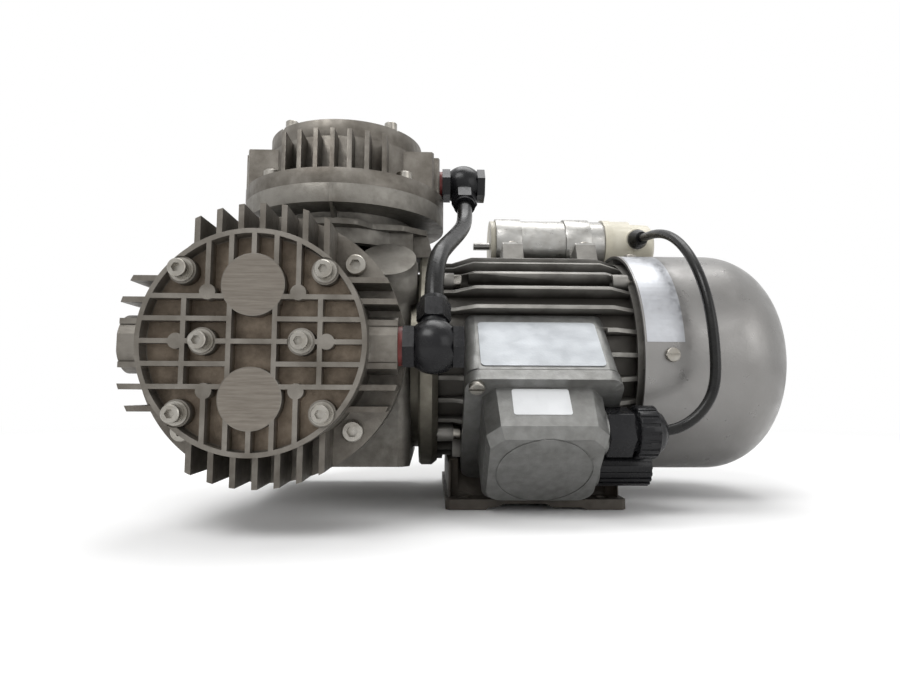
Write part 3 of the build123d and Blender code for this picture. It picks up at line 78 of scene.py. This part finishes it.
class Look:
    """A procedural material, built node by node; colours are linear RGB."""

    def __init__(self, name, metallic=0.0, roughness=0.5, specular=0.5):
        self.material = bpy.data.materials.new(name)
        self.material.use_nodes = True
        self.tree = self.material.node_tree
        self.shader = self.tree.nodes["Principled BSDF"]
        self.shader.inputs["Metallic"].default_value = metallic
        self.shader.inputs["Roughness"].default_value = roughness
        self.shader.inputs["Specular IOR Level"].default_value = specular
        self.place = self.node("ShaderNodeTexCoord").outputs["Object"]

    def node(self, kind, **settings):
        made = self.tree.nodes.new(kind)
        for key, value in settings.items():
            setattr(made, key, value)
        return made

    def link(self, source, socket):
        """source is another node's output, a number or a colour."""
        if isinstance(source, (int, float)):
            socket.default_value = source
        elif isinstance(source, tuple):
            socket.default_value = (*source, 1.0)
        else:
            self.tree.links.new(source, socket)

    def stretched(self, x, y, z):
        """The object's coordinates, scaled on each axis."""
        mapping = self.node("ShaderNodeMapping")
        mapping.inputs["Scale"].default_value = (x, y, z)
        self.link(self.place, mapping.inputs["Vector"])
        return mapping.outputs["Vector"]

    def noise(self, scale, detail=3.0, rough=0.55, at=None):
        made = self.node("ShaderNodeTexNoise")
        made.inputs["Scale"].default_value = scale
        made.inputs["Detail"].default_value = detail
        made.inputs["Roughness"].default_value = rough
        self.link(at or self.place, made.inputs["Vector"])
        return made.outputs["Fac"]

    def fade(self, value, low, high, start=0.0, end=1.0):
        """start below low, end above high, even in between."""
        made = self.node("ShaderNodeMapRange")
        limits = {"From Min": low, "From Max": high, "To Min": start, "To Max": end}
        for socket, number in limits.items():
            made.inputs[socket].default_value = number
        self.link(value, made.inputs["Value"])
        return made.outputs["Result"]

    def patches(self, scale, low, high, start=0.0, end=1.0, detail=3.0, rough=0.55):
        """Soft patches: start where the noise is under low, end where it is over high."""
        return self.fade(self.noise(scale, detail, rough), low, high, start, end)

    def maths(self, operation, a, b=0.0):
        made = self.node("ShaderNodeMath", operation=operation)
        self.link(a, made.inputs[0])
        self.link(b, made.inputs[1])
        return made.outputs["Value"]

    def radius(self, a, b):
        """Distance from the axis that a and b are measured from."""
        squares = self.maths("ADD", self.maths("MULTIPLY", a, a), self.maths("MULTIPLY", b, b))
        return self.maths("SQRT", squares)

    def mix(self, part, a, b):
        made = self.node("ShaderNodeMix", data_type="RGBA")
        self.link(part, made.inputs["Factor"])
        self.link(a, made.inputs["A"])
        self.link(b, made.inputs["B"])
        return made.outputs["Result"]

    def axis(self, name):
        made = self.node("ShaderNodeSeparateXYZ")
        self.link(self.place, made.inputs["Vector"])
        return made.outputs[name]

    def height(self):
        """Height over the motor axis."""
        return self.maths("SUBTRACT", self.axis("Z"), AXIS_HEIGHT)

    def colour(self, source):
        self.link(source, self.shader.inputs["Base Color"])

    def rough(self, source):
        self.link(source, self.shader.inputs["Roughness"])

    def bump(self, height, depth):
        """depth is the height of the relief in metres."""
        made = self.node("ShaderNodeBump")
        made.inputs["Distance"].default_value = depth
        self.link(height, made.inputs["Height"])
        self.link(made.outputs["Normal"], self.shader.inputs["Normal"])


def cast_metal(name, light, dark, stain, roughness=0.5, stain_amount=0.5, metallic=0.75, patch=60):
    """Raw casting: mottled grey, a fine grain, and stains in soft clouds."""
    look = Look(name, metallic=metallic, roughness=roughness)
    tone = look.mix(look.patches(patch, 0.35, 0.65, detail=5), light, dark)
    cloud = look.patches(28, 0.5, 0.72, 0, stain_amount, detail=6, rough=0.7)
    look.colour(look.mix(cloud, tone, stain))
    look.rough(look.patches(240, 0.3, 0.7, roughness - 0.08, roughness + 0.14, detail=4))
    look.bump(look.noise(1400, rough=0.6), 0.00008)
    return look


def head_axes(look, head):
    """Distances out along the head's axis, along the motor, and across both."""
    along = look.maths("SUBTRACT", look.axis("X"), HEAD_X[head])
    if head == "front":
        return look.maths("MULTIPLY", look.axis("Y"), -1.0), along, look.height()
    return look.height(), along, look.axis("Y")


def pocket_floor(look, deep, outward, along, across):
    """1 on the floors of the cover's pockets, 0 on its ribs, its rim and the plate's fins."""
    rim_inside = COVER_RADIUS - RIM_WALL
    inside = look.fade(look.radius(along, across), rim_inside, rim_inside + BLUR, 1.0, 0.0)
    on_cover = look.fade(outward, COVER_SEAM - BLUR, COVER_SEAM)
    return look.maths("MULTIPLY", look.maths("MULTIPLY", on_cover, inside), deep)


def boss_tops(look, outward, along, across):
    """1 on the machined tops of the cover's two round bosses."""
    top = look.fade(outward, COVER_TOP - MILLED_DEPTH, COVER_TOP - MILLED_START)
    side = look.maths("SUBTRACT", look.maths("ABSOLUTE", across), BOSS_OFFSET)
    edge = look.fade(look.radius(along, side), BOSS_RADIUS - BOSS_BLUR, BOSS_RADIUS + BOSS_BLUR, 1.0, 0.0)
    return look.maths("MULTIPLY", top, edge)


def head_metal(head):
    """Casting of a head: grey, brown and stained in the cover's pockets, darker with depth as painted
    shade, its bosses machined.
    """
    look = Look(f"head_casting_{head}", metallic=0.8, roughness=0.45)
    outward, along, across = head_axes(look, head)
    deep = look.fade(outward, COVER_TOP - POCKET_DEPTH, COVER_TOP - POCKET_START, 1.0, 0.0)
    floor_part = pocket_floor(look, deep, outward, along, across)
    grey = look.mix(look.patches(70, 0.35, 0.65), (0.22, 0.205, 0.182), (0.135, 0.123, 0.106))
    brown = look.mix(look.patches(90, 0.35, 0.65, detail=5), (0.21, 0.17, 0.13), (0.13, 0.102, 0.076))
    cloud = look.patches(45, 0.4, 0.7, 0.15, 0.85, detail=6, rough=0.7)
    # Stain in clouds, made darker deeper below the cover's top: real stain mixed with painted shade in
    # the pockets and down on the plate
    stain = look.maths("MULTIPLY", cloud, look.fade(deep, 0, 1, 0.25, 0.75))
    raw = look.mix(stain, look.mix(floor_part, grey, brown), (0.045, 0.036, 0.027))

    # The scratches of the milling cutter run along the motor
    boss = boss_tops(look, outward, along, across)
    scratches = look.noise(900, detail=4, rough=0.7, at=look.stretched(0.06, 1, 1))
    milled = look.mix(look.fade(scratches, 0.3, 0.7), (0.22, 0.198, 0.17), (0.13, 0.114, 0.096))
    look.colour(look.mix(boss, raw, milled))
    satin = look.fade(scratches, 0.3, 0.7, 0.28, 0.42)
    look.rough(look.mix(boss, look.patches(260, 0.3, 0.7, 0.4, 0.6), satin))
    look.bump(look.mix(boss, look.noise(1500, rough=0.6), scratches), 0.00009)
    return look


def paint(name, colour, worn, roughness, metallic):
    """Metallic paint with soft mottling, a fine orange peel and a little dust."""
    look = Look(name, metallic=metallic, roughness=roughness)
    look.colour(look.mix(look.patches(35, 0.35, 0.7, detail=5), colour, worn))
    look.rough(look.patches(120, 0.3, 0.7, roughness - 0.08, roughness + 0.12, detail=4))
    look.bump(look.noise(900, detail=2), 0.00005)
    return look


def frame_paint():
    """Grey towards the tips of the cooling fins, painted shade near black between them."""
    look = Look("motor_paint", metallic=0.6, roughness=0.45)
    reach = look.fade(look.radius(look.height(), look.axis("Y")), FRAME_RADIUS, FIN_RADIUS)
    # Noise wobbles the edge of the painted shade between the fins
    shade_edge_noise = look.patches(40, 0.3, 0.7, -0.18, 0.18, detail=5)
    grey = look.mix(look.patches(90, 0.4, 0.7, detail=5), (0.23, 0.222, 0.205), (0.15, 0.143, 0.13))
    out_of_shade = look.fade(look.maths("ADD", reach, shade_edge_noise), 0.1, 0.95)
    # Painted shade: the colour goes near black towards the fin roots, between the fins
    look.colour(look.mix(out_of_shade, (0.028, 0.025, 0.021), grey))
    look.rough(look.patches(120, 0.3, 0.7, 0.38, 0.56, detail=4))
    look.bump(look.noise(900), 0.00006)
    return look


def steel(name, colour, roughness=0.3, tint=(0.4, 0.36, 0.3)):
    """Bare, plated or ground metal with faint blotches."""
    look = Look(name, metallic=1.0, roughness=roughness)
    look.colour(look.mix(look.patches(180, 0.4, 0.75, 0, 0.7, detail=4), colour, tint))
    look.rough(look.patches(400, 0.3, 0.7, roughness - 0.08, roughness + 0.14))
    return look


def plastic(name, colour, second, roughness, specular=0.5):
    """Plastic or rubber in two close tones, with a fine grain."""
    look = Look(name, roughness=roughness, specular=specular)
    look.colour(look.mix(look.patches(90, 0.4, 0.7, detail=4), colour, second))
    look.rough(look.patches(200, 0.3, 0.7, roughness - 0.06, roughness + 0.1))
    look.bump(look.noise(700, detail=2), 0.00004)
    return look


# One look for each material slot of the record
looks = {
    "cast_aluminium": cast_metal(
        "case_casting", light=(0.2, 0.19, 0.17), dark=(0.13, 0.121, 0.106), stain=(0.055, 0.044, 0.032)),
    "base_iron": cast_metal(
        "base_iron", light=(0.075, 0.064, 0.051), dark=(0.045, 0.038, 0.031), stain=(0.09, 0.06, 0.035),
        roughness=0.6, stain_amount=0.4, metallic=0.2),
    "box_aluminium": cast_metal(
        "box_casting", light=(0.2, 0.2, 0.193), dark=(0.155, 0.155, 0.148), stain=(0.1, 0.096, 0.086),
        roughness=0.42, stain_amount=0.3, patch=220),
    "motor_paint": frame_paint(),
    "cowl_paint": paint("cowl_paint", (0.225, 0.22, 0.213), (0.195, 0.189, 0.182), 0.33, 0.7),
    "machined_aluminium": steel("turned_aluminium", (0.75, 0.75, 0.74), 0.35, (0.6, 0.6, 0.58)),
    "can_aluminium": steel("can_aluminium", (0.36, 0.355, 0.34), 0.34, (0.26, 0.25, 0.23)),
    "screw_steel": steel("screw_steel", (0.34, 0.325, 0.295), 0.3, (0.2, 0.18, 0.15)),
    "machine_steel": steel("ground_steel", (0.58, 0.58, 0.58), 0.25),
    "core_steel": steel("core_steel", (0.3, 0.3, 0.31), 0.5),
    "spring_steel": steel("spring_steel", (0.6, 0.6, 0.6), 0.25),
    "copper_wire": steel("copper_wire", (0.7, 0.3, 0.14), 0.35, (0.45, 0.16, 0.07)),
    "cream_plastic": plastic("cream_plastic", (0.56, 0.53, 0.44), (0.47, 0.44, 0.35), 0.4),
    "black_plastic": plastic("black_plastic", (0.006, 0.006, 0.007), (0.01, 0.01, 0.011), 0.24, 0.22),
    "fan_plastic": plastic("fan_plastic", (0.04, 0.04, 0.04), (0.06, 0.06, 0.06), 0.5),
    "block_plastic": plastic("block_plastic", (0.5, 0.46, 0.36), (0.42, 0.38, 0.3), 0.5),
    "black_rubber": plastic("black_rubber", (0.006, 0.006, 0.006), (0.012, 0.012, 0.011), 0.26, 0.22),
    "red_rubber": plastic("red_rubber", (0.16, 0.014, 0.01), (0.11, 0.011, 0.009), 0.45),
    "membrane_rubber": plastic("membrane_rubber", (0.06, 0.055, 0.05), (0.09, 0.08, 0.07), 0.6),
}
adapter_look = cast_metal(
    "adapter_casting", light=(0.19, 0.178, 0.147), dark=(0.135, 0.125, 0.1), stain=(0.07, 0.06, 0.042),
    roughness=0.42, stain_amount=0.35)


def dress(obj, look):
    obj.data.materials.clear()
    obj.data.materials.append(look.material)


slot_of = {row["node"]: row["material_slot"] for row in frame["record"]["subparts"]}
for name, obj in nodes.items():
    dress(obj, looks[slot_of[name]])
for head in HEAD_X:
    head_look = head_metal(head)
    dress(nodes[head + "_head_cover"], head_look)
    dress(nodes[head + "_head_plate"], head_look)
dress(nodes["adapter_flange"], adapter_look)


# Edges of castings and fittings are broken a little, so that they catch the light

EDGES = {
    0.0007: ("motor_base",),
    0.0006: ("crankcase", "terminal_pedestal", "terminal_cover"),
    0.0005: ("adapter_flange", "capacitor_caps"),
    0.0004: ("motor_frame", "front_head_plate", "upper_head_plate", "crankcase_cover", "capacitor_can",
             "banjo_bodies", "banjo_bolts", "hose_nuts", "cable_gland_body"),
    0.00035: ("front_head_cover", "upper_head_cover"),
    0.0003: ("cable_gland_nut", "blanking_plug", "capacitor_clamps"),
}
WELD_DISTANCE = 0.000002
SHARP_ANGLE = radians(35)


def soften(obj, width):
    """Joins the mesh's split corners and breaks its sharp edges by width."""
    weld = obj.modifiers.new("weld", "WELD")
    weld.merge_threshold = WELD_DISTANCE
    bevel = obj.modifiers.new("edge", "BEVEL")
    bevel.width = width
    bevel.segments = 2
    bevel.limit_method = "ANGLE"
    bevel.angle_limit = SHARP_ANGLE


for width, names in EDGES.items():
    for name in names:
        soften(nodes[name], width)


# Cords: the control points follow the CAD routes

HOSE_POINTS = [
    (-0.0335, -0.0118, 0.1674), (-0.0335, -0.0210, 0.1568), (-0.0349, -0.0313, 0.1475),
    (-0.0395, -0.0472, 0.1382), (-0.0446, -0.0636, 0.1294), (-0.0491, -0.0792, 0.1206),
    (-0.0510, -0.0906, 0.1068), (-0.0510, -0.0974, 0.0923),
]
HOSE_WIDTH = 0.0085
LEAD_POINTS = [
    (0.0464, -0.0764, 0.0392), (0.0578, -0.0764, 0.0392), (0.0683, -0.0768, 0.0436),
    (0.0764, -0.0774, 0.0517), (0.0808, -0.0772, 0.0622), (0.0817, -0.0756, 0.0797),
    (0.0814, -0.0723, 0.0982), (0.0801, -0.0658, 0.1152), (0.0788, -0.0543, 0.1302),
    (0.0778, -0.0383, 0.1417), (0.0771, -0.0193, 0.1486), (0.0765, -0.0002, 0.1512),
    (0.0762, 0.0127, 0.1528),
]
LEAD_WIDTH = 0.005


def cord(name, node, points, width, look):
    """A smooth cord on its control points, in place of the CAD tube."""
    data = bpy.data.curves.new(name, "CURVE")
    data.dimensions = "3D"
    data.bevel_depth = width / 2
    data.bevel_resolution = 8
    data.resolution_u = 16
    data.use_fill_caps = True
    spline = data.splines.new("NURBS")
    spline.points.add(len(points) - 1)
    for spot, point in zip(spline.points, points):
        spot.co = (*point, 1.0)
    spline.order_u = 3
    spline.use_endpoint_u = True
    obj = bpy.data.objects.new(name, data)
    bpy.context.collection.objects.link(obj)
    data.materials.append(look.material)
    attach(obj, "pump")
    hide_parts(node)


cord("pressure_hose", "hose", HOSE_POINTS, HOSE_WIDTH, looks["black_rubber"])
cord("capacitor_lead", "lead_cable", LEAD_POINTS, LEAD_WIDTH, looks["black_rubber"])


# Blank plates and stickers

CORNER_STEPS = 6
LABEL_STEPS = 24
LABEL_GAP = 0.00003


def on_box(x, u, v):
    """A point of the terminal box: x from the crank, u out of its upper face, v down that face."""
    slant = 0.5 ** 0.5
    return Vector((x + CRANK_X, -slant * (u + v), slant * (u - v) + AXIS_HEIGHT))


def piece(name, points, faces, look):
    mesh = bpy.data.meshes.new(name)
    mesh.from_pydata(points, [], faces)
    mesh.update()
    obj = bpy.data.objects.new(name, mesh)
    bpy.context.collection.objects.link(obj)
    obj.data.materials.append(look.material)
    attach(obj, "pump")


def box_plate(name, left, top, bottom, size, corner, thickness, look):
    """A thin plate with round corners on the box; top and bottom are places (u, v) on its face."""
    origin = on_box(left, *top)
    along = Vector((1, 0, 0))
    down = (on_box(left, *bottom) - origin).normalized()
    lift = down.cross(along) * thickness
    width, height = size
    centres = ((corner, corner), (width - corner, corner), (width - corner, height - corner),
               (corner, height - corner))
    rim = []
    for k, (a, b) in enumerate(centres):
        for step in range(CORNER_STEPS + 1):
            angle = radians(180 + 90 * (k + step / CORNER_STEPS))
            rim.append(origin + along * (a + corner * cos(angle)) + down * (b + corner * sin(angle)))
    count = len(rim)
    faces = [tuple(range(count)), tuple(range(2 * count - 1, count - 1, -1))]
    faces += [(k, k + count, (k + 1) % count + count, (k + 1) % count) for k in range(count)]
    piece(name, rim + [point + lift for point in rim], faces, look)


def cowl_label(name, left, right, low, high, thickness, look):
    """A strip bent round the cowl; low and high are angles above the -Y direction."""
    points = []
    for k in range(LABEL_STEPS + 1):
        angle = radians(low + (high - low) * k / LABEL_STEPS)
        for radius in (COWL_RADIUS + LABEL_GAP, COWL_RADIUS + thickness):
            for x in (left, right):
                points.append((x, -radius * cos(angle), AXIS_HEIGHT + radius * sin(angle)))

    # Each step has four points: inner left, inner right, outer left, outer right
    last = 4 * LABEL_STEPS
    faces = [(0, 1, 3, 2), (last + 2, last + 3, last + 1, last)]
    for k in range(0, last, 4):
        faces += [(k + 2, k + 3, k + 7, k + 6), (k + 1, k, k + 4, k + 5),
                  (k, k + 2, k + 6, k + 4), (k + 3, k + 1, k + 5, k + 7)]
    piece(name, points, faces, look)


foil = steel("blank_foil", (0.4, 0.41, 0.43), 0.36, (0.37, 0.375, 0.39))
silver = paint("blank_silver", (0.33, 0.345, 0.36), (0.3, 0.315, 0.33), 0.5, 0.6)
paper = plastic("blank_sticker", (0.6, 0.61, 0.62), (0.53, 0.54, 0.55), 0.4)
box_plate("blank_rating_plate", left=0.0915, top=(0.05052, 0.028), bottom=(0.05052, 0.06),
          size=(0.0585, 0.032), corner=0.0022, thickness=0.0004, look=silver)
box_plate("blank_sticker", left=0.105, top=(0.04542, 0.07), bottom=(0.04402, 0.0845),
          size=(0.026, 0.0145), corner=0.0012, thickness=0.00012, look=paper)
cowl_label("blank_cowl_label", left=0.0545, right=0.0735, low=6, high=70,
           thickness=0.00015, look=foil)


# Camera, light and floor

CAMERA_PLACE = (-0.051584, -0.361151, 0.056622)
CAMERA_LENS = 24.63
CAMERA_SENSOR = 36
CAMERA_YAW = -0.029
CAMERA_PITCH = 0.0903
CAMERA_ROLL = -0.0047

FLOOR_SIZE = 12
FLOOR_DROP = 0.0002
FLOOR_FADE_START = 0.35
FLOOR_FADE_END = 0.9
WORLD_STRENGTH = 0.55


def camera():
    """The photograph's viewpoint; without its turns it looks along +Y, with +Z up."""
    data = bpy.data.cameras.new("camera")
    data.lens = CAMERA_LENS
    data.sensor_width = CAMERA_SENSOR
    obj = bpy.data.objects.new("camera", data)
    bpy.context.collection.objects.link(obj)
    turn = Matrix.Rotation(CAMERA_YAW, 3, "Z")
    turn = turn @ Matrix.Rotation(CAMERA_PITCH, 3, "X") @ Matrix.Rotation(CAMERA_ROLL, 3, "Y")
    right, forward, up = (turn @ Vector(v) for v in ((1, 0, 0), (0, 1, 0), (0, 0, 1)))
    place = Matrix((right, up, -forward)).transposed().to_4x4()
    place.translation = CAMERA_PLACE
    obj.matrix_world = place
    bpy.context.scene.camera = obj


def softbox(name, place, target, size, energy):
    data = bpy.data.lights.new(name, "AREA")
    data.shape = "RECTANGLE"
    data.size, data.size_y = size
    data.energy = energy
    obj = bpy.data.objects.new(name, data)
    bpy.context.collection.objects.link(obj)
    obj.location = place
    obj.rotation_euler = (Vector(target) - Vector(place)).to_track_quat("-Z", "Y").to_euler()


def white_world():
    """White where the camera, metal or glass shows it, and softer as a light."""
    world = bpy.data.worlds.new("world")
    bpy.context.scene.world = world
    world.use_nodes = True
    tree = world.node_tree
    tree.nodes.clear()

    def larger(a, b):
        made = tree.nodes.new("ShaderNodeMath")
        made.operation = "MAXIMUM"
        tree.links.new(a, made.inputs[0])
        tree.links.new(b, made.inputs[1])
        return made.outputs["Value"]

    def white(strength):
        made = tree.nodes.new("ShaderNodeBackground")
        made.inputs["Color"].default_value = (1, 1, 1, 1)
        made.inputs["Strength"].default_value = strength
        return made.outputs["Background"]

    path = tree.nodes.new("ShaderNodeLightPath").outputs
    shown = larger(larger(path["Is Camera Ray"], path["Is Glossy Ray"]), path["Is Transmission Ray"])
    blend = tree.nodes.new("ShaderNodeMixShader")
    output = tree.nodes.new("ShaderNodeOutputWorld")
    tree.links.new(shown, blend.inputs["Fac"])
    tree.links.new(white(WORLD_STRENGTH), blend.inputs[1])
    tree.links.new(white(1.0), blend.inputs[2])
    tree.links.new(blend.outputs["Shader"], output.inputs["Surface"])


def floor():
    """A pale floor; far from the pump the camera sees it as white as the background."""
    bpy.ops.mesh.primitive_plane_add(size=FLOOR_SIZE, location=(0, 0, -FLOOR_DROP))
    plane = bpy.context.object
    plane.name = "floor"
    look = Look("floor", roughness=0.9)
    look.colour(look.mix(look.noise(3), (0.93, 0.93, 0.93), (0.9, 0.9, 0.9)))
    far = look.fade(look.radius(look.axis("X"), look.axis("Y")), FLOOR_FADE_START, FLOOR_FADE_END)
    seen = look.node("ShaderNodeLightPath").outputs["Is Camera Ray"]
    blend = look.node("ShaderNodeMixShader")
    look.link(look.maths("MULTIPLY", far, seen), blend.inputs["Fac"])
    look.link(look.shader.outputs["BSDF"], blend.inputs[1])
    look.link(look.node("ShaderNodeEmission").outputs["Emission"], blend.inputs[2])
    look.link(blend.outputs["Shader"], look.tree.nodes["Material Output"].inputs["Surface"])
    dress(plane, look)


camera()
white_world()
floor()
softbox("key", place=(-0.5, -0.7, 1.1), target=(0, 0, 0.08), size=(0.7, 0.5), energy=9.5)
softbox("fill", place=(0.9, -0.9, 0.5), target=(0, 0, 0.1), size=(0.8, 0.8), energy=3.5)
softbox("top", place=(0.1, 0.25, 1.3), target=(0, 0, 0.1), size=(1.0, 0.7), energy=9)
bpy.context.scene.view_settings.view_transform = "Standard"
